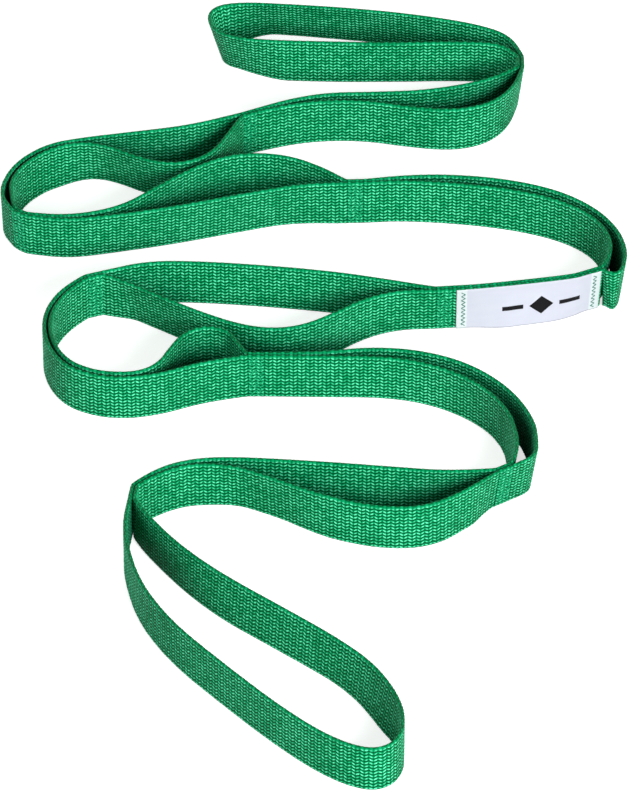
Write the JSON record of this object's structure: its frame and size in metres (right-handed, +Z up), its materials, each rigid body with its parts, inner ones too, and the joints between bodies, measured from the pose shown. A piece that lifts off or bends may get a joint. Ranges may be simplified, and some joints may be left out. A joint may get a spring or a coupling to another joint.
{
  "type": "stretching strap",
  "caption": "Flat woven strap with a row of sewn loops for feet and hands, standing on its edge in a loose zigzag.",
  "frame": {"origin": "centre of the laid strap, on the surface that it stands on", "axes": "+Z up, across the webbing; +Y towards the far end loop; +X to the right"},
  "size_m": [0.294, 0.5354, 0.025],
  "materials": {
    "webbing": "heavy herringbone nylon webbing, slightly glossy yarn",
    "thread": "bonded nylon sewing thread, satin",
    "label": "white woven satin ribbon"
  },
  "bodies": {
    "label_section": {"label_section_front_webbing": "webbing", "label_section_back_webbing": "webbing", "label": "label", "label_stitching": "thread", "seam_05_stitching": "thread", "seam_06_stitching": "thread"},
    "loop_01": {"loop_01_end_webbing": "webbing"},
    "loop_02": {"loop_02_left_webbing": "webbing", "loop_02_right_webbing": "webbing", "seam_01_stitching": "thread"},
    "loop_03": {"loop_03_left_webbing": "webbing", "loop_03_right_webbing": "webbing", "seam_02_stitching": "thread"},
    "loop_04": {"loop_04_left_webbing": "webbing", "loop_04_right_webbing": "webbing", "seam_03_stitching": "thread"},
    "loop_05": {"loop_05_left_webbing": "webbing", "loop_05_right_webbing": "webbing", "seam_04_stitching": "thread"},
    "loop_06": {"loop_06_left_webbing": "webbing", "loop_06_right_webbing": "webbing", "seam_07_stitching": "thread"},
    "loop_07": {"loop_07_left_webbing": "webbing", "loop_07_right_webbing": "webbing", "seam_08_stitching": "thread"},
    "loop_08": {"loop_08_left_webbing": "webbing", "loop_08_right_webbing": "webbing", "seam_09_stitching": "thread"},
    "loop_09": {"loop_09_left_webbing": "webbing", "loop_09_right_webbing": "webbing", "seam_10_stitching": "thread"},
    "loop_10": {"loop_10_end_webbing": "webbing"}
  },
  "joints": [
    {"name": "seam_01_fold", "type": "hinge", "parent": "loop_02", "child": "loop_01", "pos_m": [0.101, 0.222, 0.0125], "axis": [0, 0, -1], "range_deg": [0, 90]},
    {"name": "seam_02_bend", "type": "hinge", "parent": "loop_03", "child": "loop_02", "pos_m": [-0.0295, 0.1815, 0.0125], "axis": [0, 0, 1], "range_deg": [0, 45]},
    {"name": "seam_03_fold", "type": "hinge", "parent": "loop_04", "child": "loop_03", "pos_m": [-0.137, 0.106, 0.0125], "axis": [0, 0, 1], "range_deg": [0, 90]},
    {"name": "seam_04_bend", "type": "hinge", "parent": "loop_05", "child": "loop_04", "pos_m": [0.021, 0.1285, 0.0125], "axis": [0, 0, -1], "range_deg": [0, 25]},
    {"name": "seam_05_fold", "type": "hinge", "parent": "label_section", "child": "loop_05", "pos_m": [0.132, 0.062, 0.0125], "axis": [0, 0, -1], "range_deg": [0, 90]},
    {"name": "seam_06_bend", "type": "hinge", "parent": "label_section", "child": "loop_06", "pos_m": [0.062, 0.0485, 0.0125], "axis": [0, 0, 1], "range_deg": [0, 45]},
    {"name": "seam_07_fold", "type": "hinge", "parent": "loop_06", "child": "loop_07", "pos_m": [-0.1005, 0.0585, 0.0125], "axis": [0, 0, -1], "range_deg": [0, 90]},
    {"name": "seam_08_bend", "type": "hinge", "parent": "loop_07", "child": "loop_08", "pos_m": [-0.025, 0.0005, 0.0125], "axis": [0, 0, -1], "range_deg": [0, 30]},
    {"name": "seam_09_fold", "type": "hinge", "parent": "loop_08", "child": "loop_09", "pos_m": [0.0875, -0.079, 0.0125], "axis": [0, 0, 1], "range_deg": [0, 90]},
    {"name": "seam_10_fold", "type": "hinge", "parent": "loop_09", "child": "loop_10", "pos_m": [-0.0795, -0.0955, 0.0125], "axis": [0, 0, -1], "range_deg": [0, 90]}
  ]
}
